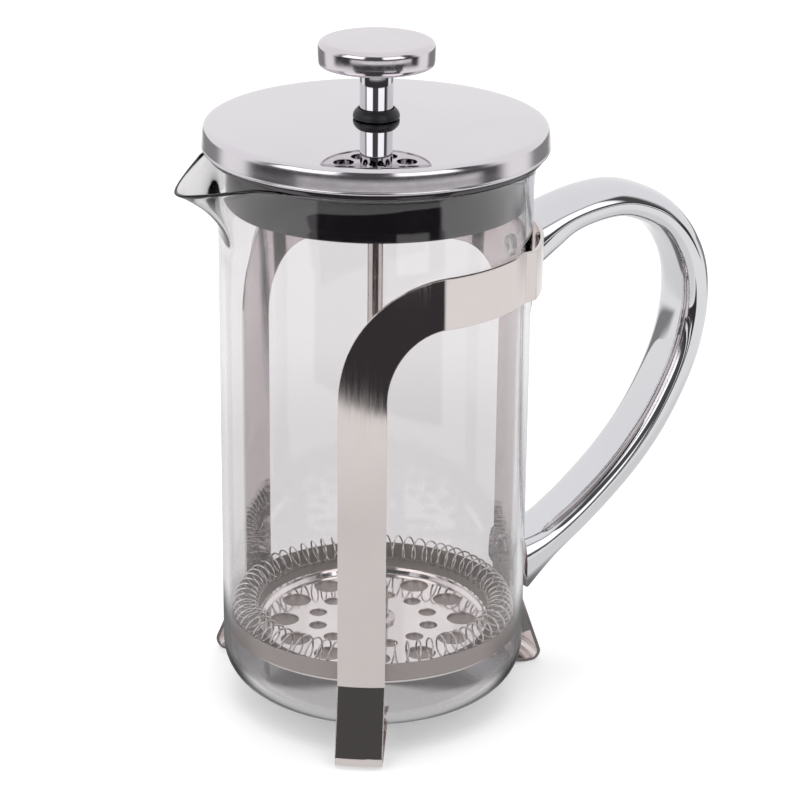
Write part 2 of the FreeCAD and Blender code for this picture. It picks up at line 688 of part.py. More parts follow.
turned("rod_tube", "tube_low", [
    ("tube_bore", "0"),
    ("tube_radius-0.4", "0"),
    ("tube_radius", "0.4"),
    ("tube_radius", "tube_long"),
    ("tube_bore", "tube_long"),
])
turned("knob_cap", "knob_low", [
    ("knob_radius-knob_sheet", "0"),
    ("knob_radius-0.25", "0"),
    ("knob_radius", "0.25"),
    ("knob_radius", "knob_tall-knob_round", "knob_round", 1),
    ("knob_radius-knob_round", "knob_tall"),
    ("0", "knob_tall"),
    ("0", "knob_tall-knob_sheet"),
    ("knob_radius-knob_sheet", "knob_tall-knob_sheet"),
])
core = turned("knob_core", "core_low", [
    ("tube_radius+0.05", "0"),
    ("core_radius", "0"),
    ("core_radius", "core_tall"),
    ("0", "core_tall"),
    ("0", "2.2"),
    ("rod_radius+0.05", "2.2"),
    ("rod_radius+0.05", "1.2"),
    ("tube_radius+0.05", "1.2"),
])
sk = new_sketch(core, "pocket_sketch", "XY_Plane")
g = sk.addGeometry(Part.Circle(V(ev("pocket_circle"), 0, 0), V(0, 0, 1), ev("pocket_radius")), False)
k = sk.addConstraint(Sketcher.Constraint("Radius", g, ev("pocket_radius")))
sk.setExpression("Constraints[%d]" % k, "sizes.pocket_radius")
k = sk.addConstraint(Sketcher.Constraint("DistanceX", -1, 1, g, 3, ev("pocket_circle")))
sk.setExpression("Constraints[%d]" % k, "sizes.pocket_circle")
sk.addConstraint(Sketcher.Constraint("PointOnObject", g, 3, -1))
v0 = core.Shape.Volume
pk = core.newObject("PartDesign::Pocket", "pockets")
pk.Profile = sk
pk.Type = 0
pk.setExpression("Length", "sizes.pocket_depth")
pk.Reversed = True
doc.recompute()
pp = core.newObject("PartDesign::PolarPattern", "pockets_ring")
pp.Originals = [pk]
pp.Axis = (sk, ["N_Axis"])
pp.Angle = 360.0
pp.Occurrences = 8
core.Tip = pp
doc.recompute()
assert core.Shape.Volume < v0 - 100, "knob pockets"

# ----------------------------------------------------------------------------
# Filter stack, from below: end nut, cross plate, mesh, dished plate, the wire
# coil round its rim, and the clamping hub.
# ----------------------------------------------------------------------------
cross = turned("cross_plate", "cross_low", [
    ("rod_radius+0.05", "0"),
    ("dish_radius+0.1", "0"),
    ("cross_radius-0.3", "dish_rise-0.35"),
    ("cross_radius", "dish_rise"),
    ("cross_radius", "dish_rise+0.5"),
    ("dish_radius-0.05", "cross_thick"),
    ("rod_radius+0.05", "cross_thick"),
])
holes(cross, "cross_large", 0, "large_circle", "large_hole", S["hole_count"], S["hole_turn"])
holes(cross, "cross_small", 0, "small_circle", "small_hole", S["hole_count"], S["small_turn"])
turned("mesh_screen", "mesh_low", [
    ("rod_radius+0.05", "0"),
    ("dish_radius", "0"),
    ("mesh_radius-0.3", "dish_rise-0.1"),
    ("mesh_radius", "dish_rise+0.3"),
    ("mesh_radius", "mesh_lip"),
    ("mesh_radius-mesh_thick", "mesh_lip"),
    ("mesh_radius-mesh_thick", "dish_rise+0.5"),
    ("mesh_radius-mesh_thick-0.15", "dish_rise+0.3"),
    ("dish_radius-0.05", "mesh_thick"),
    ("rod_radius+0.05", "mesh_thick"),
])
plate = turned("spiral_plate", "plate_low", [
    ("rod_radius+0.05", "0"),
    ("plate_radius-1.6", "0"),
    ("plate_radius", "1.4"),
    ("plate_radius", "plate_rim"),
    ("plate_radius-plate_thick", "plate_rim"),
    ("plate_radius-plate_thick", "1.75"),
    ("plate_radius-1.95", "plate_thick"),
    ("rod_radius+0.05", "plate_thick"),
])
holes(plate, "plate_large", 0, "large_circle", "large_hole", S["hole_count"], S["hole_turn"])
holes(plate, "plate_small", 0, "small_circle", "small_hole", S["hole_count"], S["small_turn"])

coil = doc.addObject("Part::Torus", "filter_coil")
coil.Label = "filter_coil"
coil.setExpression("Radius1", "sizes.coil_ring")
coil.setExpression("Radius2", "sizes.coil_tube")
coil.setExpression("Placement.Base.z", "sizes.coil_mid")

hub = turned("filter_hub", "hub_low", [
    ("rod_radius+0.05", "0"),
    ("hub_radius+0.6", "0"),
    ("hub_radius+0.6", "0.9"),
    ("hub_radius-1.4", "1.4"),
    ("hub_radius-1.8", "hub_tall-0.5"),
    ("hub_radius-2.3", "hub_tall"),
    ("rod_radius+0.05", "hub_tall"),
])
endnut = new_body("end_nut", "endnut_low")
sk = new_sketch(endnut, "end_nut_sketch", "XY_Plane")
gs = []
for i in range(6):
    a, b = polar(ev("endnut_radius"), 60 * i), polar(ev("endnut_radius"), 60 * i + 60)
    gs.append(sk.addGeometry(Part.LineSegment(a, b), False))
for i in range(6):
    sk.addConstraint(Sketcher.Constraint("Coincident", gs[i], 2, gs[(i + 1) % 6], 1))
pin_point(sk, gs[0], 1, "endnut_radius", "0")
for i in range(1, 6):
    c, s = math.cos(math.radians(60 * i)), math.sin(math.radians(60 * i))
    k = sk.addConstraint(Sketcher.Constraint("DistanceX", -1, 1, gs[i], 1, ev("endnut_radius") * c))
    sk.setExpression("Constraints[%d]" % k, "sizes.endnut_radius*(%r)" % round(c, 12))
    if abs(s) > 1e-9:
        k = sk.addConstraint(Sketcher.Constraint("DistanceY", -1, 1, gs[i], 1, ev("endnut_radius") * s))
        sk.setExpression("Constraints[%d]" % k, "sizes.endnut_radius*(%r)" % round(s, 12))
    else:
        sk.addConstraint(Sketcher.Constraint("PointOnObject", gs[i], 1, -1))
bore = sk.addGeometry(Part.Circle(O, Z, ev("rod_radius+0.05")), False)
sk.addConstraint(Sketcher.Constraint("Coincident", bore, 3, -1, 1))
k = sk.addConstraint(Sketcher.Constraint("Radius", bore, ev("rod_radius+0.05")))
sk.setExpression("Constraints[%d]" % k, "sizes.rod_radius+0.05")
pad = endnut.newObject("PartDesign::Pad", "end_nut_pad")
pad.Profile = sk
pad.setExpression("Length", "sizes.endnut_tall")
doc.recompute()

# ----------------------------------------------------------------------------
# Every object is checked before anything is written.
# ----------------------------------------------------------------------------
doc.recompute()
for ob in doc.Objects:
    bad = [s for s in ob.State if s in ("Invalid", "Error")]
    if bad:
        raise RuntimeError("%s is %s" % (ob.Name, bad))
NODES = ["frame", "handle", "handle_screws", "beaker", "lid_cover", "lid_collar", "lid_bushing",
         "bushing_nut", "plunger_rod", "rod_tube", "knob_cap", "knob_core", "cross_plate", "mesh_screen",
         "spiral_plate", "filter_coil", "filter_hub", "end_nut"]
os.makedirs("parts", exist_ok=True)
for name in NODES:
    ob = doc.getObject(name)
    sh = ob.Shape
    if sh.isNull() or not sh.isValid():
        raise RuntimeError("shape of %s is not valid" % name)
    bb = sh.BoundBox
    print("%-16s solids %d vol %9.1f  x %.2f %.2f  y %.2f %.2f  z %.2f %.2f" % (
        name, len(sh.Solids), sh.Volume, bb.XMin, bb.XMax, bb.YMin, bb.YMax, bb.ZMin, bb.ZMax))
# The sub-parts are drawn about the beaker's axis. They are written about the part's
# own origin, under the middle of its box in the plane of the feet.
shift = V(-S["axis_back"], 0, 0)
for name in NODES:
    doc.getObject(name).Shape.translated(shift).exportStep("parts/%s.step" % name)
print("written", len(NODES))
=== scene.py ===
import bpy
import bmesh
import math
from mathutils import Matrix, Vector


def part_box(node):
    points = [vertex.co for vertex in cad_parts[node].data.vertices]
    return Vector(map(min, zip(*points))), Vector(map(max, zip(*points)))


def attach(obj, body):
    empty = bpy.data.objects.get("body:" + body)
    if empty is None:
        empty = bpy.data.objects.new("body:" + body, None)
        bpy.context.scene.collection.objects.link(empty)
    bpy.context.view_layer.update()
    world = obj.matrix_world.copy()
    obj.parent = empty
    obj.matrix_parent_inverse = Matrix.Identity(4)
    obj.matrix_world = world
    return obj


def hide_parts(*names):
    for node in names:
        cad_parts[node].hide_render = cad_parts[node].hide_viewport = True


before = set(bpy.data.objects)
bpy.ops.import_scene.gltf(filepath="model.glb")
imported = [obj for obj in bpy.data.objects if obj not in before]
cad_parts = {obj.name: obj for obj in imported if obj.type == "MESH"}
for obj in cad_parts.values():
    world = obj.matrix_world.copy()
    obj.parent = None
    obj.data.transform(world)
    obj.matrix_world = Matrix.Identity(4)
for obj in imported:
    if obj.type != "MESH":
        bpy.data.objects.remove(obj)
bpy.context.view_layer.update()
MM = 0.001
TAU = 2 * math.pi
ROD_LO, ROD_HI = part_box("plunger_rod")
AX = (ROD_LO.x + ROD_HI.x) / 2          # the beaker's axis in the part's frame

# ---------------------------------------------------------------------------
# Camera: where it stands in the part's frame
# ---------------------------------------------------------------------------
TURN = math.radians(-28.95)          # from the camera's own frame to the part's
CAM_X, CAM_D, CAM_H = 43.671, 814.872, 418.139
YAW, PITCH, ROLL = -0.043713, 0.372309, 0.010298
LENS = 125.5447


def cam_axes():
    cy, sy = math.cos(YAW), math.sin(YAW)
    f = Vector((sy * math.cos(PITCH), cy * math.cos(PITCH), -math.sin(PITCH)))
    r = Vector((cy, -sy, 0.0))
    u = r.cross(f)
    r2 = r * math.cos(ROLL) + u * math.sin(ROLL)
    u2 = u * math.cos(ROLL) - r * math.sin(ROLL)
    rot = Matrix.Rotation(TURN, 3, "Z")
    pos = rot @ Vector((CAM_X, -CAM_D, CAM_H)) * MM + Vector((AX, 0.0, 0.0))
    return rot @ r2, rot @ u2, rot @ f, pos


RIGHT, UP, FWD, CPOS = cam_axes()
cam_data = bpy.data.cameras.new("camera")
cam_data.lens = LENS
cam_data.sensor_width = 36.0
cam_data.clip_start, cam_data.clip_end = 0.05, 20.0
cam = bpy.data.objects.new("camera", cam_data)
bpy.context.scene.collection.objects.link(cam)
m = Matrix.Identity(4)
for i in range(3):
    m[i][0], m[i][1], m[i][2], m[i][3] = RIGHT[i], UP[i], -FWD[i], CPOS[i]
cam.matrix_world = m
bpy.context.scene.camera = cam
TO_CAM = Vector((-FWD.x, -FWD.y, 0.0)).normalized()     # level, towards the front
TO_RIGHT = Vector((RIGHT.x, RIGHT.y, 0.0)).normalized()

# ---------------------------------------------------------------------------
# Node helpers
# ---------------------------------------------------------------------------


class N:
    """Small helper around one node tree."""

    def __init__(self, tree):
        self.t = tree

    def node(self, kind, **kw):
        n = self.t.nodes.new(kind)
        for k, v in kw.items():
            setattr(n, k, v)
        return n

    def link(self, a, b):
        self.t.links.new(a, b)

    def put(self, sock, v):
        if isinstance(v, (int, float)):
            sock.default_value = v
        elif isinstance(v, (tuple, list)):
            sock.default_value = v
        else:
            self.link(v, sock)

    def m(self, op, a, b=0.0, c=None, clamp=False):
        n = self.node("ShaderNodeMath", operation=op, use_clamp=clamp)
        self.put(n.inputs[0], a)
        self.put(n.inputs[1], b)
        if c is not None:
            self.put(n.inputs[2], c)
        return n.outputs[0]

    def ramp(self, v, lo, hi, out0=0.0, out1=1.0, kind="SMOOTHSTEP"):
        n = self.node("ShaderNodeMapRange", interpolation_type=kind)
        n.clamp = True
        self.put(n.inputs["Value"], v)
        n.inputs["From Min"].default_value = lo
        n.inputs["From Max"].default_value = hi
        n.inputs["To Min"].default_value = out0
        n.inputs["To Max"].default_value = out1
        return n.outputs["Result"]

    def mixc(self, f, a, b, mode="MIX"):
        n = self.node("ShaderNodeMix", data_type="RGBA", blend_type=mode)
        self.put(n.inputs["Factor"], f)
        for s, v in ((n.inputs[6], a), (n.inputs[7], b)):
            if isinstance(v, tuple) and len(v) == 3:
                v = (*v, 1.0)
            self.put(s, v)
        return n.outputs[2]

    def noise(self, vec, scale, detail=3.0, rough=0.5, dist=0.0):
        n = self.node("ShaderNodeTexNoise")
        n.inputs["Scale"].default_value = scale
        n.inputs["Detail"].default_value = detail
        n.inputs["Roughness"].default_value = rough
        n.inputs["Distortion"].default_value = dist
        self.put(n.inputs["Vector"], vec)
        return n.outputs["Fac"]

    def coords(self, scale=(1, 1, 1)):
        tc = self.node("ShaderNodeTexCoord")
        mp = self.node("ShaderNodeMapping")
        mp.inputs["Scale"].default_value = scale
        self.link(tc.outputs["Object"], mp.inputs["Vector"])
        return mp.outputs["Vector"]

    def xyz(self):
        """Object coordinates measured from the beaker's axis."""
        tc = self.node("ShaderNodeTexCoord")
        off = self.node("ShaderNodeVectorMath", operation="SUBTRACT")
        off.inputs[1].default_value = (AX, 0.0, 0.0)
        self.link(tc.outputs["Object"], off.inputs[0])
        s = self.node("ShaderNodeSeparateXYZ")
        self.link(off.outputs[0], s.inputs[0])
        return s.outputs

    def bump(self, height, strength, dist, normal=None):
        b = self.node("ShaderNodeBump")
        b.inputs["Strength"].default_value = strength
        b.inputs["Distance"].default_value = dist
        self.put(b.inputs["Height"], height)
        if normal is not None:
            self.link(normal, b.inputs["Normal"])
        return b.outputs["Normal"]


def material(name):
    mat = bpy.data.materials.new(name)
    mat.use_nodes = True
    t = mat.node_tree
    t.nodes.clear()
    n = N(t)
    out = n.node("ShaderNodeOutputMaterial")
    b = n.node("ShaderNodeBsdfPrincipled")
    n.link(b.outputs[0], out.inputs["Surface"])
    return mat, n, b


def metal(name, color, rough, spread=0.02, tint=0.05, grain=(1, 1, 1), grain_scale=900.0,
          grain_bump=0.0, smear=60.0, edge=0.0, axial=False):
    """Metal with faint handling smears, fine grain along one direction and a little tone variation."""
    mat, n, b = material(name)
    v = n.coords()
    if axial:
        x, y, z = n.xyz()
        ang = n.m("ARCTAN2", y, x)
        cmb = n.node("ShaderNodeCombineXYZ")
        n.put(cmb.inputs[0], n.m("MULTIPLY", ang, 0.05))
        n.put(cmb.inputs[1], n.m("MULTIPLY", n.m("SQRT", n.m("ADD", n.m("MULTIPLY", x, x), n.m("MULTIPLY", y, y))), 1.0))
        n.put(cmb.inputs[2], z)
        mp = n.node("ShaderNodeMapping")
        mp.inputs["Scale"].default_value = grain
        n.link(cmb.outputs[0], mp.inputs["Vector"])
        gv = mp.outputs[0]
    else:
        gv = n.coords(grain)
    smears = n.noise(v, smear, 4.0, 0.55, 0.3)
    fine = n.noise(gv, grain_scale, 2.0, 0.6)
    r = n.m("ADD", n.ramp(smears, 0.35, 0.75, rough, rough + spread), n.ramp(fine, 0.3, 0.7, -spread * 0.35, spread * 0.35), clamp=True)
    n.put(b.inputs["Roughness"], r)
    c2 = tuple(max(0.0, c * (1 - tint)) for c in color)
    n.put(b.inputs["Base Color"], n.mixc(n.ramp(smears, 0.3, 0.8), color, c2))
    b.inputs["Metallic"].default_value = 1.0
    nrm = None
    if edge > 0:
        bv = n.node("ShaderNodeBevel", samples=4)
        bv.inputs["Radius"].default_value = edge
        nrm = bv.outputs["Normal"]
    if grain_bump > 0:
        nrm = n.bump(fine, grain_bump, 0.00002, nrm)
    if nrm is not None:
        n.link(nrm, b.inputs["Normal"])
    return mat


def plastic(name, color, rough, spread, grain_bump, scale=1500.0, spec=0.5, coat=0.0):
    mat, n, b = material(name)
    v = n.coords()
    f = n.noise(v, scale, 2.0, 0.6)
    s = n.noise(v, 45.0, 4.0, 0.5)
    n.put(b.inputs["Roughness"], n.ramp(s, 0.3, 0.75, rough, rough + spread))
    c2 = tuple(min(1.0, c * 1.35 + 0.004) for c in color)
    n.put(b.inputs["Base Color"], n.mixc(n.ramp(s, 0.35, 0.8), color, c2))
    b.inputs["Specular IOR Level"].default_value = spec
    b.inputs["Coat Weight"].default_value = coat
    b.inputs["Coat Roughness"].default_value = 0.03
    n.link(n.bump(f, grain_bump, 0.00003), b.inputs["Normal"])
    return mat


# ---------------------------------------------------------------------------
# Materials
# ---------------------------------------------------------------------------
STEEL = (0.705, 0.645, 0.628)
CHROME = (0.715, 0.715, 0.735)
m_lid = metal("lid_polished_steel", (0.715, 0.685, 0.712), 0.012, 0.03, 0.03, smear=28.0, grain_scale=500.0)
m_chrome = metal("chrome_plate", CHROME, 0.015, 0.03, 0.02, smear=40.0)
m_handle = metal("handle_chrome", CHROME, 0.02, 0.035, 0.03, smear=35.0)
m_knob = metal("knob_satin_steel", (0.70, 0.665, 0.69), 0.11, 0.06, 0.04, smear=50.0, grain_scale=700.0)
m_rod = metal("rod_steel", (0.66, 0.62, 0.60), 0.08, 0.05, 0.06, grain=(1, 1, 0.05), grain_scale=1500.0, grain_bump=0.12)
m_frame = metal("frame_polished_steel", STEEL, 0.035, 0.05, 0.05, grain=(1, 1, 0.03), grain_scale=1500.0,
                grain_bump=0.10, smear=32.0, edge=0.00035)
m_plate = metal("filter_plate_steel", (0.86, 0.82, 0.80), 0.05, 0.08, 0.06, smear=70.0, edge=0.0002)
m_coil = metal("coil_wire", (0.76, 0.72, 0.69), 0.16, 0.06, 0.08, smear=300.0)
m_hub = metal("turned_hub", (0.64, 0.60, 0.58), 0.14, 0.08, 0.06, grain=(1, 1, 6), grain_scale=700.0, grain_bump=0.2, edge=0.0002)
m_screw = metal("screw_steel", (0.62, 0.60, 0.59), 0.12, 0.08, 0.08, edge=0.0002)
m_collar = plastic("collar_gloss_black", (0.014, 0.010, 0.014), 0.05, 0.05, 0.02, 300.0, 0.95, 0.0)
m_bush = plastic("bushing_matt_black", (0.018, 0.018, 0.020), 0.36, 0.12, 0.25, 1600.0, 0.35)
m_core = metal("knob_core_plated", (0.80, 0.78, 0.80), 0.06, 0.04, 0.04, smear=60.0)



def blur_below(mat, z_hi, z_lo, extra):
    """Adds roughness to a material below a height (metres): the brushed side of a piece with a bright top."""
    nt = mat.node_tree
    bs = [nd for nd in nt.nodes if nd.type == "BSDF_PRINCIPLED"][0]
    tc = nt.nodes.new("ShaderNodeTexCoord")
    sp = nt.nodes.new("ShaderNodeSeparateXYZ")
    mr = nt.nodes.new("ShaderNodeMapRange")
    ad = nt.nodes.new("ShaderNodeMath")
    ad.operation = "ADD"
    nt.links.new(tc.outputs["Object"], sp.inputs[0])
    nt.links.new(sp.outputs["Z"], mr.inputs["Value"])
    mr.inputs["From Min"].default_value = z_lo
    mr.inputs["From Max"].default_value = z_hi
    mr.inputs["To Min"].default_value = extra
    mr.inputs["To Max"].default_value = 0.0
    sock = bs.inputs["Roughness"]
    if sock.is_linked:
        nt.links.new(sock.links[0].from_socket, ad.inputs[0])
    else:
        ad.inputs[0].default_value = sock.default_value
    nt.links.new(mr.outputs[0], ad.inputs[1])
    nt.links.new(ad.outputs[0], sock)


LID_Z_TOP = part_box("lid_cover")[1].z
blur_below(m_lid, LID_Z_TOP - 0.0014, LID_Z_TOP - 0.0024, 0.15)
# woven mesh: a fine over-and-under weave of steel wire, with painted shade in its pits
m_mesh, n, b = material("woven_mesh")
x, y, z = n.xyz()
PITCH_W = 0.00042
rad = n.m("SQRT", n.m("ADD", n.m("MULTIPLY", x, x), n.m("MULTIPLY", y, y)))
arc = n.m("MULTIPLY", n.m("ARCTAN2", y, x), 0.0458)
wall = n.ramp(rad, 0.0450, 0.0453, 0.0, 1.0, "LINEAR")
ua = n.m("ADD", n.m("MULTIPLY", x, n.m("SUBTRACT", 1.0, wall)), n.m("MULTIPLY", arc, wall))
va = n.m("ADD", n.m("MULTIPLY", y, n.m("SUBTRACT", 1.0, wall)), n.m("MULTIPLY", z, wall))
su = n.m("SINE", n.m("MULTIPLY", ua, TAU / PITCH_W))
sv = n.m("SINE", n.m("MULTIPLY", va, TAU / PITCH_W))
weave = n.m("MULTIPLY", n.m("ADD", n.m("MULTIPLY", su, sv), 1.0), 0.5)
tone = n.noise(n.coords(), 120.0, 3.0)
# painted shade: the weave's pits take the dark colour and its raised crossings the pale one; the wire itself is one
# steel
weave_shaded_col = n.mixc(weave, (0.33, 0.285, 0.265), (0.78, 0.70, 0.665))
n.put(b.inputs["Base Color"], n.mixc(n.ramp(tone, 0.3, 0.8, 0.0, 0.35), weave_shaded_col, (0.50, 0.46, 0.42)))
b.inputs["Metallic"].default_value = 0.9
n.put(b.inputs["Roughness"], n.ramp(weave, 0.0, 1.0, 0.55, 0.32))
n.link(n.bump(weave, 0.6, 0.00008), b.inputs["Normal"])

# beaker glass: clear, with faint waviness
m_glass, n, b = material("beaker_glass")
b.inputs["Base Color"].default_value = (0.905, 0.89, 0.90, 1.0)
b.inputs["Transmission Weight"].default_value = 1.0
b.inputs["IOR"].default_value = 1.47
wv = n.noise(n.coords((1, 1, 0.35)), 26.0, 2.0, 0.5)
gr = n.noise(n.coords(), 60.0, 3.0, 0.5)
n.put(b.inputs["Roughness"], n.ramp(gr, 0.45, 0.85, 0.0, 0.012))
n.link(n.bump(wv, 0.012, 0.0004), b.inputs["Normal"])

# ---------------------------------------------------------------------------
# Mesh helpers
# ---------------------------------------------------------------------------


def new_object(name, verts, faces, mat, smooth=True, shift=True):
    """Mesh object; verts are metres from the beaker's axis unless shift is off."""
    me = bpy.data.meshes.new(name)
    dx = AX if shift else 0.0
    me.from_pydata([(v[0] + dx, v[1], v[2]) for v in verts], [], faces)
    me.validate()
    me.update()
    for p in me.polygons:
        p.use_smooth = smooth
    ob = bpy.data.objects.new(name, me)
    bpy.context.scene.collection.objects.link(ob)
    me.materials.append(mat)
    return ob


def fix_normals(ob):
    bm = bmesh.new()
    bm.from_mesh(ob.data)
    bmesh.ops.recalc_face_normals(bm, faces=bm.faces)
    bm.to_mesh(ob.data)
    bm.free()


def auto_smooth(ob, deg=35.0):
    ob.data.set_sharp_from_angle(angle=math.radians(deg))


def rounded(pts, closed=True):
    """Profile with rounded corners. pts: (r, z, corner radius) in mm."""
    out = []
    n = len(pts)
    for i in range(n):
        p = Vector(pts[i][:2])
        rad = pts[i][2] if len(pts[i]) > 2 else 0.0
        a, c = Vector(pts[i - 1][:2]), Vector(pts[(i + 1) % n][:2])
        if rad <= 0 or (not closed and i in (0, n - 1)):
            out.append(p)
            continue
        d0, d1 = (a - p), (c - p)
        l0, l1 = d0.length, d1.length
        d0.normalize(); d1.normalize()
        ang = math.acos(max(-1, min(1, d0.dot(d1))))
        if ang > math.pi - 0.02:
            out.append(p)
            continue
        cut = min(rad / math.tan(ang / 2), l0 * 0.49, l1 * 0.49)
        rr = cut * math.tan(ang / 2)
        bis = (d0 + d1).normalized()
        cen = p + bis * (rr / math.sin(ang / 2))
        s, e = p + d0 * cut, p + d1 * cut
        a0 = math.atan2(s.y - cen.y, s.x - cen.x)
        a1 = math.atan2(e.y - cen.y, e.x - cen.x)
        da = (a1 - a0 + math.pi) % TAU - math.pi
        k = max(3, int(abs(da) / math.radians(11)))
        for j in range(k + 1):
            t = a0 + da * j / k
            out.append(cen + Vector((math.cos(t), math.sin(t))) * rr)
    return out


def lathe(name, prof, mat, seg=192, closed=True):
    """Turned piece from a closed profile of (r, z) in mm. Points on the axis become poles."""
    verts, faces, rings = [], [], []
    for p in prof:
        r, z = p[0] * MM, p[1] * MM
        if r < 1e-7:
            rings.append([len(verts)])
            verts.append((0, 0, z))
        else:
            rings.append(list(range(len(verts), len(verts) + seg)))
            for k in range(seg):
                a = TAU * k / seg
                verts.append((r * math.cos(a), r * math.sin(a), z))
    n = len(rings)
    for i in range(n if closed else n - 1):
        A, B = rings[i], rings[(i + 1) % n]
        if len(A) == 1 and len(B) == 1:
            continue
        for k in range(seg):
            k2 = (k + 1) % seg
            if len(A) == 1:
                faces.append((A[0], B[k], B[k2]))
            elif len(B) == 1:
                faces.append((A[k], B[0], A[k2]))
            else:
                faces.append((A[k], B[k], B[k2], A[k2]))
    ob = new_object(name, verts, faces, mat)
    fix_normals(ob)
    return ob


def arc_pts(p0, p1, sag, k):
    """Points from p0 to p1: z follows a parabola that is flat at p0's end when sag is set, else a straight line."""
    out = []
    for i in range(k + 1):
        t = i / k
        r = p0[0] + (p1[0] - p0[0]) * t
        out.append(Vector((r, p0[1] + (p1[1] - p0[1]) * t * t if sag else p0[1] + (p1[1] - p0[1]) * t)))
    return out


# ---------------------------------------------------------------------------
# Lid cover: pressed steel, faint dome, rounded edge, rolled hem at the rim
# ---------------------------------------------------------------------------
LID_Z = 182.3
LID_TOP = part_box("lid_cover")[1].z / MM
prof = []
R0, R1, DM = 5.85, 50.3, 1.1
HT = LID_TOP - LID_Z - DM - 0.02
for i in range(19):
    r = R0 + (R1 - R0) * i / 18
    prof.append(Vector((r, LID_Z + HT + DM * (1 - (r / 52.0) ** 2))))
zr = prof[-1].y
edge = [(R1 + 1.1, zr - 0.10), (R1 + 1.75, zr - 0.48), (R1 + 2.10, zr - 1.05), (R1 + 2.28, zr - 1.8),
        (R1 + 2.38, zr - 2.7), (R1 + 2.46, zr - 3.7), (R1 + 2.52, zr - 4.8), (R1 + 2.56, zr - 5.7), (R1 + 2.60, LID_Z + 1.25)]
prof += [Vector(p) for p in edge]
for i in range(9):                                     # rolled hem
    a = math.radians(62 - 30.5 * i)
    prof.append(Vector((52.42 + 0.56 * math.cos(a), LID_Z + 0.60 + 0.56 * math.sin(a))))
inner = [(51.55, LID_Z + 1.4), (51.5, LID_Z + HT - 3.3), (51.2, LID_Z + HT - 1.8), (50.6, LID_Z + HT - 1.05), (49.8, LID_Z + HT - 0.8)]
prof += [Vector(p) for p in inner]
for i in range(10):
    r = 49.0 + (R0 - 49.0) * i / 9
    prof.append(Vector((r, LID_Z + HT - 0.8 + DM * (1 - (r / 52.0) ** 2))))
lid = lathe("lid_cover_pressed", prof, m_lid, 288)
auto_smooth(lid, 40)
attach(lid, "lid_cover"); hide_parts("lid_cover")

# ---------------------------------------------------------------------------
# Collar: moulded, radiused flange, pouring slots ring-side left plain
# ---------------------------------------------------------------------------
C0 = 166.0
prof = rounded([(43.9, C0, 0.5), (45.9, C0, 0.5), (45.9, C0 + 14.5, 0.2), (51.4, C0 + 14.5, 0.45), (51.4, C0 + 16.4, 0.45),
                (45.9, C0 + 17.0, 0.3), (45.9, C0 + 21.8, 0.6), (10.0, C0 + 21.8, 0.4), (10.0, C0 + 19.8, 0.4), (43.9, C0 + 19.8, 1.0)])
collar = lathe("collar_moulded", prof, m_collar, 224)
auto_smooth(collar, 50)
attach(collar, "lid_collar"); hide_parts("lid_collar")

# ---------------------------------------------------------------------------
# Bushing: soft dome with its seat and cup, parting line round the middle
# ---------------------------------------------------------------------------
B0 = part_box("lid_bushing")[0].z / MM
prof = rounded([(2.55, B0, 0.2), (5.55, B0, 0.5), (5.55, B0 + 5.9, 0.0), (7.08, B0 + 5.9, 0.06), (7.15, B0 + 6.35, 0.3), (7.08, B0 + 6.9, 0.9),
                (6.88, B0 + 7.5, 1.2), (6.42, B0 + 8.15, 1.2), (5.75, B0 + 8.85, 0.25), (5.38, B0 + 8.85, 0.2), (5.38, B0 + 6.4, 0.2), (2.55, B0 + 6.4, 0.2)])
bush = lathe("bushing_moulded", prof, m_bush, 128)
auto_smooth(bush, 50)
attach(bush, "bushing"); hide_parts("lid_bushing")

# ---------------------------------------------------------------------------
# Knob cap: pressed cap with rolled edge; rod tube; rod with chamfers
# ---------------------------------------------------------------------------
K0, KR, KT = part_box("knob_cap")[0].z / MM, 17.85, 7.4
prof = [Vector((0, K0 + KT))]
for r in (4, 8, 11, 13.2, 14.8, 15.85):
    prof.append(Vector((r, K0 + KT - 0.10 * (r / 15.85) ** 3)))
for i in range(1, 9):
    a = math.radians(90 - 11.25 * i)
    prof.append(Vector((KR - 1.95 + 1.95 * math.cos(a), K0 + KT - 0.12 - 1.95 + 1.95 * math.sin(a))))
prof += [Vector((KR, K0 + 3.6)), Vector((KR - 0.02, K0 + 2.2)), Vector((KR - 0.10, K0 + 0.9)), Vector((KR - 0.28, K0 + 0.3)), Vector((KR - 0.62, K0)),
         Vector((KR - 0.88, K0 + 0.12)), Vector((KR - 0.9, K0 + 0.6)), Vector((KR - 0.9, K0 + KT - 1.6)), Vector((KR - 1.5, K0 + KT - 1.0)),
         Vector((0, K0 + KT - 0.95))]
knob = lathe("knob_pressed", prof, m_knob, 192)
auto_smooth(knob, 45)
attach(knob, "plunger"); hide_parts("knob_cap")

T0, T1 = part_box("rod_tube")[0].z / MM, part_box("rod_tube")[1].z / MM
prof = rounded([(2.5, T0, 0.15), (5.1, T0, 0.45), (5.1, T1, 0.1), (2.5, T1, 0.1)])
tube = lathe("tube_chromed", prof, m_chrome, 96)
auto_smooth(tube, 40)
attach(tube, "plunger"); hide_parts("rod_tube")

Z0, Z1 = ROD_LO.z / MM, ROD_HI.z / MM
prof = rounded([(0, Z0), (2.45, Z0, 0.5), (2.45, Z1, 0.4), (0, Z1)], closed=False)
prof = [prof[0]] + prof[1:]
fine = []
for i in range(len(prof) - 1):
    a, c = prof[i], prof[i + 1]
    k = 12 if abs(c.y - a.y) > 50 else 1
    for j in range(k):
        fine.append(a.lerp(c, j / k))
fine.append(prof[-1])
rod = lathe("rod_drawn", fine, m_rod, 64, closed=False)
auto_smooth(rod, 40)
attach(rod, "plunger"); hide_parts("plunger_rod")

# ---------------------------------------------------------------------------
# Beaker: one closed shell with rounded foot, flared rim and drawn lip
# ---------------------------------------------------------------------------
GR, GW, GZ0, GZ1, GC, GFL = 48.25, 2.0, 5.0, 180.2, 13.6, 2.4
RIM, ZS = 49.4, 148.0
ZF = ZS + 0.62 * (GZ1 - ZS)


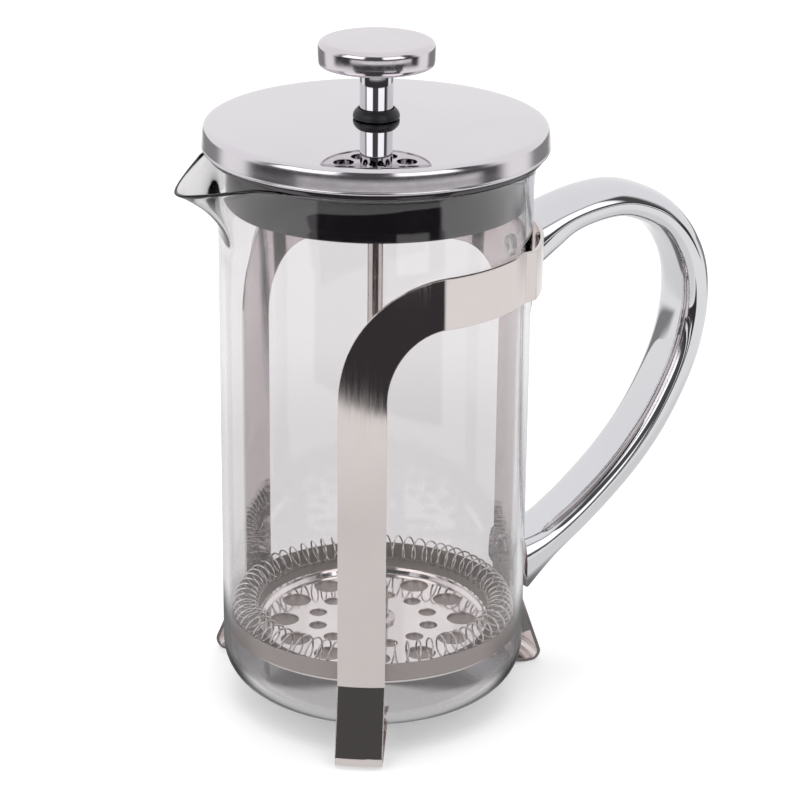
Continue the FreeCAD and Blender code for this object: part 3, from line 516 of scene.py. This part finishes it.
def flare(z):
    if z <= ZF:
        return 0.0
    return (RIM - GR) * ((z - ZF) / (GZ1 - ZF)) ** 2


def outer_profile():
    p = [(0.0, GZ0, 0)]
    for k in range(1, 8):
        p.append(((GR - GC) * k / 7, GZ0, 0))
    for k in range(1, 13):
        a = math.radians(-90 + 90 * k / 12)
        p.append((GR - GC + GC * math.cos(a), GZ0 + GC + GC * math.sin(a), 0))
    z = GZ0 + GC
    steps = [25, 32, 45, 60, 80, 100, 120, 138, 146] + [148 + 1.5 * i for i in range(1, 21)]
    for s in steps:
        if s > z and s < GZ1 - 1.1:
            p.append((GR + flare(s), s, 0))
    return p


def inner_profile():
    ci = GC - GW
    ri = GR - GW
    zb = GZ0 + GFL
    p = []
    steps = [25, 32, 45, 60, 80, 100, 120, 138, 146] + [148 + 1.5 * i for i in range(1, 21)]
    for s in reversed(steps):
        if s > zb + ci and s < GZ1 - 1.1:
            p.append((ri + flare(s), s, 0))
    for k in range(12, -1, -1):
        a = math.radians(-90 + 90 * k / 12)
        p.append((ri - ci + ci * math.cos(a), zb + ci + ci * math.sin(a), 0))
    for k in range(6, 0, -1):
        p.append(((ri - ci) * k / 7, zb, 0))
    p.append((0.0, zb, 0))
    return p


SEGG = 288
prof = outer_profile()
mid_r = RIM - GW / 2
for k in range(9):                                       # fire-rounded rim
    a = math.pi * k / 8
    prof.append((mid_r + (GW / 2) * math.cos(a), GZ1 - 1.0 + 1.0 * math.sin(a), 0))
prof += inner_profile()
REACH, DROP, HALF, NOSE = 66.05 - RIM, 5.2, 44.0, 3.2
SLOPE = DROP / (66.2 - RIM + 0.4)
U_TIP = (GZ1 - DROP - ZS) / (GZ1 - ZS)


def lip_raw(d):
    k = max(0.0, 1.0 - d / HALF)
    return 0.7 * k ** 4 + 0.3 * k ** 1.5


def lip_law(d):
    """How far the rim stands out at an angle from the lip's middle: near straight flanks, rounded nose."""
    nrm = HALF / math.hypot(HALF, NOSE)
    return lip_raw(math.hypot(d, NOSE) * nrm) / lip_raw(NOSE * nrm)


def lip_place(ph, r, z):
    """Radius and height of a point of the wall once the lip is drawn and its rim slopes down."""
    d = abs(math.degrees(ph) - 180.0)
    if z <= ZS or d >= HALF:
        return r, z
    law = lip_law(d)
    zz = z
    for _ in range(14):
        u = (zz - ZS) / (GZ1 - ZS)
        rr = r + REACH * (max(0.0, u - 0.08) / (U_TIP - 0.08)) ** 2.4 * law
        top = GZ1 - SLOPE * max(0.0, rr * abs(math.cos(ph)) - (RIM - 0.4))
        zn = ZS + (z - ZS) * (top - ZS) / (GZ1 - ZS)
        zz = 0.5 * (zz + zn)
    return rr, zz


verts, faces, rings = [], [], []
for (r, z, _) in prof:
    if r < 1e-6:
        rings.append([len(verts)])
        verts.append((0, 0, z * MM))
        continue
    ring = []
    for k in range(SEGG):
        ph = TAU * k / SEGG
        rr, zz = lip_place(ph, r, z)
        ring.append(len(verts))
        verts.append((rr * MM * math.cos(ph), rr * MM * math.sin(ph), zz * MM))
    rings.append(ring)
for i in range(len(rings) - 1):
    A, Bq = rings[i], rings[i + 1]
    for k in range(SEGG):
        k2 = (k + 1) % SEGG
        if len(A) == 1:
            faces.append((A[0], Bq[k2], Bq[k]))
        elif len(Bq) == 1:
            faces.append((A[k], A[k2], Bq[0]))
        else:
            faces.append((A[k], A[k2], Bq[k2], Bq[k]))
beaker = new_object("beaker_blown", verts, faces, m_glass)
fix_normals(beaker)
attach(beaker, "beaker"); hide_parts("beaker")

# ---------------------------------------------------------------------------
# Filter coil: a wire helix bent into a ring, its pitch a little uneven
# ---------------------------------------------------------------------------
RING, TUBE, WIRE, TURNS, MIDZ = 41.1, 4.4, 0.30, 70, 30.8
NPT = TURNS * 26
path = []
for i in range(NPT):
    t = i / NPT
    a = TAU * t + 0.012 * math.sin(7 * TAU * t) + 0.006 * math.sin(17 * TAU * t + 1.0)
    q = TAU * TURNS * t
    lean = 0.010 * math.sin(q)
    rm = TUBE - WIRE - 0.05 - 0.12 * (0.5 + 0.5 * math.sin(11 * TAU * t + 0.7))
    r = RING + rm * math.cos(q)
    path.append(Vector((r * math.cos(a + lean), r * math.sin(a + lean), MIDZ - 0.04 + rm * math.sin(q))))
verts, faces = [], []
SD = 7
for i in range(NPT):
    p0, p1, p2 = path[i - 1], path[i], path[(i + 1) % NPT]
    tg = (p2 - p0).normalized()
    ca = math.atan2(p1.y, p1.x)
    cen = Vector((RING * math.cos(ca), RING * math.sin(ca), MIDZ))
    n1 = (p1 - cen)
    n1 = (n1 - tg * n1.dot(tg)).normalized()
    n2 = tg.cross(n1)
    for k in range(SD):
        g = TAU * k / SD
        verts.append((p1 + (n1 * math.cos(g) + n2 * math.sin(g)) * WIRE) * MM)
for i in range(NPT):
    j = (i + 1) % NPT
    for k in range(SD):
        k2 = (k + 1) % SD
        faces.append((i * SD + k, i * SD + k2, j * SD + k2, j * SD + k))
coil = new_object("coil_wound", verts, faces, m_coil)
fix_normals(coil)
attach(coil, "plunger"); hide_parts("filter_coil")

# ---------------------------------------------------------------------------
# Handle: bowed D section, each line of it run to the saddle's curve
# ---------------------------------------------------------------------------
STATIONS = [
    (49.0, 144.6, 1.18, 1.75, 1.42), (56.5, 148.9, 1.06, 1.30, 1.36), (64.5, 152.8, 1.01, 1.02, 1.14),
    (74.1, 155.1, 1.0, 1.0, 1.03), (84.0, 155.6, 1.0, 1.0, 1.0), (92.8, 153.1, 1.0, 1.0, 1.0),
    (100.5, 148.5, 1.0, 1.0, 1.0), (107.3, 140.6, 1.0, 1.0, 1.0), (111.7, 130.7, 1.0, 1.0, 1.0),
    (113.1, 119.0, 1.0, 1.0, 1.0), (111.8, 107.6, 1.0, 1.0, 1.0), (108.9, 97.5, 1.0, 1.0, 1.0),
    (104.2, 87.1, 1.0, 1.0, 1.0), (98.1, 76.7, 1.0, 1.0, 1.0), (90.2, 66.6, 1.0, 1.0, 1.0),
    (80.8, 57.2, 1.0, 1.0, 1.0), (70.7, 48.5, 1.0, 1.0, 1.05), (61.0, 41.2, 1.0, 1.05, 1.3),
    (49.0, 34.4, 1.12, 1.80, 2.1),
]
HW, HD, HB = 10.38, 5.48, 5.58
R_SADDLE = 48.25 + 0.3 + 1.1 + 2.0


def catmull(P, t):
    n = len(P) - 1
    i = min(int(t * n), n - 1)
    f = t * n - i
    g = [P[max(i - 1, 0)], P[i], P[i + 1], P[min(i + 2, n)]]
    return tuple(0.5 * ((2 * g[1][k]) + (-g[0][k] + g[2][k]) * f + (2 * g[0][k] - 5 * g[1][k] + 4 * g[2][k] - g[3][k]) * f * f
                        + (-g[0][k] + 3 * g[1][k] - 3 * g[2][k] + g[3][k]) * f ** 3) for k in range(len(g[0])))


def handle_line(a, ncut=150):
    """One lengthwise line of the handle, at section angle a, between the saddle's two meetings."""
    c, s = math.cos(a), math.sin(a)
    pts = []
    NS = 360
    for i in range(NS + 1):
        t = i / NS
        px, pz, fw, fd, fb = catmull(STATIONS, t)
        q0, q1 = catmull(STATIONS, max(0, t - 0.004)), catmull(STATIONS, min(1, t + 0.004))
        tx, tz = q1[0] - q0[0], q1[1] - q0[1]
        ln = math.hypot(tx, tz)
        nx, nz = -tz / ln, tx / ln
        if s >= 0:
            y, u = HW * fw * abs(c) ** 0.86 * (1 if c >= 0 else -1), HD * fd * s ** 0.92
        else:
            y, u = HW * fw * abs(c) ** 0.74 * (1 if c >= 0 else -1), -HB * fb * (-s) ** 0.66
        pts.append(Vector((px + nx * u, y, pz + nz * u)))
    lo = next(i for i, p in enumerate(pts) if math.hypot(p.x, p.y) > R_SADDLE + 0.02)
    hi = len(pts) - 1 - next(i for i, p in enumerate(reversed(pts)) if math.hypot(p.x, p.y) > R_SADDLE + 0.02)

    def hit(i, j):
        A, Bp = pts[i], pts[j]
        ra, rb = math.hypot(A.x, A.y), math.hypot(Bp.x, Bp.y)
        f = (R_SADDLE + 0.02 - ra) / (rb - ra) if abs(rb - ra) > 1e-9 else 0.0
        return A.lerp(Bp, max(0.0, min(1.0, f)))

    core = [hit(max(lo - 1, 0), lo)] + pts[lo:hi + 1] + [hit(hi, min(hi + 1, NS))]
    ls = [0.0]
    for i in range(1, len(core)):
        ls.append(ls[-1] + (core[i] - core[i - 1]).length)
    out, k = [], 0
    for i in range(ncut + 1):
        d = ls[-1] * i / ncut
        while k < len(ls) - 2 and ls[k + 1] < d:
            k += 1
        f = (d - ls[k]) / max(ls[k + 1] - ls[k], 1e-9)
        out.append(core[k].lerp(core[k + 1], min(1.0, max(0.0, f))))
    return out


NA = 72
lines = [handle_line(TAU * k / NA) for k in range(NA)]
NL = len(lines[0])
verts = [lines[k][i] * MM for i in range(NL) for k in range(NA)]
faces = []
for i in range(NL - 1):
    for k in range(NA):
        k2 = (k + 1) % NA
        faces.append((i * NA + k, i * NA + k2, (i + 1) * NA + k2, (i + 1) * NA + k))
for end in (0, NL - 1):
    cen = sum((Vector(verts[end * NA + k]) for k in range(NA)), Vector()) / NA
    rr = math.hypot(cen.x, cen.y)
    cen = Vector((R_SADDLE * MM + 0.00002, 0.0, cen.z))
    ci = len(verts)
    verts.append(cen)
    for k in range(NA):
        k2 = (k + 1) % NA
        faces.append((end * NA + k, end * NA + k2, ci))
handle = new_object("handle_cast", verts, faces, m_handle)
fix_normals(handle)
auto_smooth(handle, 40)
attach(handle, "frame"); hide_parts("handle")

# ---------------------------------------------------------------------------
# CAD nodes that stay, with their materials
# ---------------------------------------------------------------------------
KEEP = {"frame": m_frame, "handle_screws": m_screw, "bushing_nut": m_bush, "knob_core": m_core, "cross_plate": m_plate,
        "mesh_screen": m_mesh, "spiral_plate": m_plate, "filter_hub": m_hub, "end_nut": m_hub}
for name, mat in KEEP.items():
    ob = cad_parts[name]
    if not ob.material_slots:
        ob.data.materials.append(mat)
    for s in ob.material_slots:
        s.link = "OBJECT"
        s.material = mat

# ---------------------------------------------------------------------------
# Floor and light
# ---------------------------------------------------------------------------
m_floor, n, b = material("floor_white")
fl = n.noise(n.coords(), 3.0, 2.0)
n.put(b.inputs["Base Color"], n.mixc(n.ramp(fl, 0.3, 0.7), (0.86, 0.86, 0.86), (0.88, 0.88, 0.88)))
b.inputs["Roughness"].default_value = 0.9
b.inputs["Specular IOR Level"].default_value = 0.1
b.inputs["Emission Color"].default_value = (1, 1, 1, 1)
b.inputs["Emission Strength"].default_value = 0.32
floor = new_object("floor", [(-6, -6, -0.0002), (6, -6, -0.0002), (6, 6, -0.0002), (-6, 6, -0.0002)], [(0, 1, 2, 3)], m_floor, False, False)
floor.visible_glossy = False
floor.visible_transmission = False

# What the polished metal sees of the table: a white sheet under the object that ends in front, the darker
# room beyond its edge, and one pale patch in it, plus painted shadow of the object darkening the sheet under the
# beaker and round its foot. Only reflections and refracted rays meet this plane.
m_card, n, b = material("table_card")
tcd = n.node("ShaderNodeTexCoord")
relv = n.node("ShaderNodeVectorMath", operation="SUBTRACT")
n.link(tcd.outputs["Object"], relv.inputs[0])
relv.inputs[1].default_value = (AX, 0.0, 0.0)


def along(vec):
    d = n.node("ShaderNodeVectorMath", operation="DOT_PRODUCT")
    n.link(relv.outputs[0], d.inputs[0])
    d.inputs[1].default_value = tuple(vec)
    return d.outputs["Value"]


cu, cv = along(TO_CAM), along(TO_RIGHT)
crad = n.m("SQRT", n.m("ADD", n.m("MULTIPLY", cu, cu), n.m("MULTIPLY", cv, cv)))
caz = n.m("MULTIPLY", n.m("ARCTAN2", cv, cu), 180 / math.pi)


def span(v, lo, hi, soft):
    return n.m("MULTIPLY", n.ramp(v, lo - soft, lo + soft), n.ramp(v, hi - soft, hi + soft, 1.0, 0.0))


ragged = n.m("MULTIPLY", n.m("SUBTRACT", n.noise(n.coords((1, 1, 1)), 60.0, 3.0, 0.6), 0.5), 0.012)
slant = n.m("MULTIPLY", caz, 0.0006)
dark = n.m("MULTIPLY", n.ramp(n.m("ADD", n.m("ADD", crad, ragged), slant), 0.338, 0.348), span(caz, -42.0, 48.0, 1.2))
dark = n.m("MULTIPLY", dark, n.ramp(crad, 0.508, 0.514, 1.0, 0.0))
mid = n.m("MULTIPLY", span(crad, 0.510, 0.600, 0.004), n.m("MAXIMUM", span(caz, -44.0, 15.0, 1.2), span(caz, 38.0, 50.0, 1.5)))
far_dark = n.m("MULTIPLY", n.ramp(crad, 0.60, 0.63), span(caz, -46.0, 52.0, 3.0))
far_dark = n.m("MAXIMUM", far_dark, n.m("MULTIPLY", n.ramp(crad, 0.70, 0.74), span(caz, -88.0, 88.0, 6.0)))
pale = n.m("MULTIPLY", span(crad, 0.93, 1.35, 0.06), span(caz, -50.0, 70.0, 4.0))
dark = n.m("MAXIMUM", dark, mid)
dot = 0.0
back = n.m("MULTIPLY", n.ramp(crad, 0.42, 0.60), n.ramp(n.m("ABSOLUTE", caz), 112.0, 124.0))
back = n.m("MULTIPLY", back, n.ramp(n.m("ABSOLUTE", caz), 150.0, 162.0, 1.0, 0.0))
front = n.m("MULTIPLY", n.m("MAXIMUM", dark, far_dark), n.m("SUBTRACT", 1.0, n.m("MAXIMUM", pale, dot)))
# painted shade: a dark ring on the sheet round the beaker's foot at its sides and back, the object's shade on the
# table as the rear feet reflect it
under = n.m("MULTIPLY", n.ramp(crad, 0.085, 0.115, 1.0, 0.0), n.ramp(n.m("ABSOLUTE", caz), 66.0, 90.0))
lit = n.m("MAXIMUM", n.m("MAXIMUM", front, n.m("MULTIPLY", back, 0.75)), n.m("MULTIPLY", under, 0.80))
level = n.ramp(crad, 0.22, 0.345, 0.86, 1.02)
# painted shadow: the sheet dims to 0.62 right under the beaker, its shade on the table as seen through the glass
# bottom
level = n.m("MULTIPLY", level, n.ramp(crad, 0.040, 0.062, 0.62, 1.0))
colr = n.mixc(lit, (0.965, 0.965, 0.965), (0.045, 0.041, 0.045))
em = n.node("ShaderNodeEmission")
n.put(em.inputs["Color"], colr)
n.put(em.inputs["Strength"], level)
for nd in list(m_card.node_tree.nodes):
    if nd.type == "OUTPUT_MATERIAL":
        n.link(em.outputs[0], nd.inputs["Surface"])
m_card.node_tree.nodes.remove(b)
card = new_object("table_card", [(-6, -6, -0.0012), (6, -6, -0.0012), (6, 6, -0.0012), (-6, 6, -0.0012)], [(0, 1, 2, 3)], m_card, False, False)
card.visible_camera = False
card.visible_diffuse = False
card.visible_shadow = False
card.visible_volume_scatter = False

world = bpy.data.worlds.new("studio")
bpy.context.scene.world = world
world.use_nodes = True
wt = world.node_tree
wt.nodes.clear()
n = N(wt)
tc = n.node("ShaderNodeTexCoord")
gen = tc.outputs["Generated"]


def dot(vec):
    d = n.node("ShaderNodeVectorMath", operation="DOT_PRODUCT")
    n.link(gen, d.inputs[0])
    d.inputs[1].default_value = tuple(vec)
    return d.outputs["Value"]


fx, fy, fz = dot(TO_RIGHT), dot(TO_CAM), dot((0, 0, 1))
azim = n.m("MULTIPLY", n.m("ARCTAN2", fx, fy), 180 / math.pi)          # 0 to the camera, + to its right
elev = n.m("MULTIPLY", n.m("ARCSINE", fz), 180 / math.pi)


def band(v, lo, hi, soft):
    return n.m("MULTIPLY", n.ramp(v, lo - soft, lo + soft), n.ramp(v, hi - soft, hi + soft, 1.0, 0.0))


def patch(a0, a1, e0, e1, sa=4.0, se=4.0):
    return n.m("MULTIPLY", band(azim, a0, a1, sa), band(elev, e0, e1, se))


def darker(val, mask, keep):
    return n.m("MULTIPLY", val, n.m("SUBTRACT", 1.0, n.m("MULTIPLY", mask, 1.0 - keep)))


val = 0.97
val = darker(val, patch(-80, 80, -60, 52, 10, 6), 0.09)       # the room behind the camera
add = n.m("MULTIPLY", patch(-70, -25, 7, 46, 3, 4), 1.7)       # soft boxes
add2 = n.m("MULTIPLY", patch(13, 56, 7, 46, 3, 4), 1.6)
val = n.m("ADD", n.m("ADD", val, add), add2)
tint = n.mixc(n.ramp(elev, -30, 30), (1.0, 0.985, 0.975), (0.985, 0.985, 1.0))
colr = n.node("ShaderNodeVectorMath", operation="SCALE")
n.link(tint, colr.inputs[0])
n.put(colr.inputs["Scale"], val)
lp = n.node("ShaderNodeLightPath")
plain = lp.outputs["Is Camera Ray"]
bg1 = n.node("ShaderNodeBackground")
n.link(colr.outputs[0], bg1.inputs["Color"])
bg1.inputs["Strength"].default_value = 1.0
bg2 = n.node("ShaderNodeBackground")
bg2.inputs["Color"].default_value = (1, 1, 1, 1)
bg2.inputs["Strength"].default_value = 1.0
mx = n.node("ShaderNodeMixShader")
n.link(plain, mx.inputs[0])
n.link(bg1.outputs[0], mx.inputs[1])
n.link(bg2.outputs[0], mx.inputs[2])
wo = n.node("ShaderNodeOutputWorld")
n.link(mx.outputs[0], wo.inputs["Surface"])

top = bpy.data.lights.new("overhead", "AREA")
top.shape = "DISK"
top.size = 1.6
top.energy = 9.0
top_ob = bpy.data.objects.new("overhead", top)
bpy.context.scene.collection.objects.link(top_ob)
top_ob.location = (0.1, 0.15, 1.7)
top_ob.visible_glossy = False

bpy.context.scene.view_settings.view_transform = "Standard"
bpy.context.scene.view_settings.look = "None"
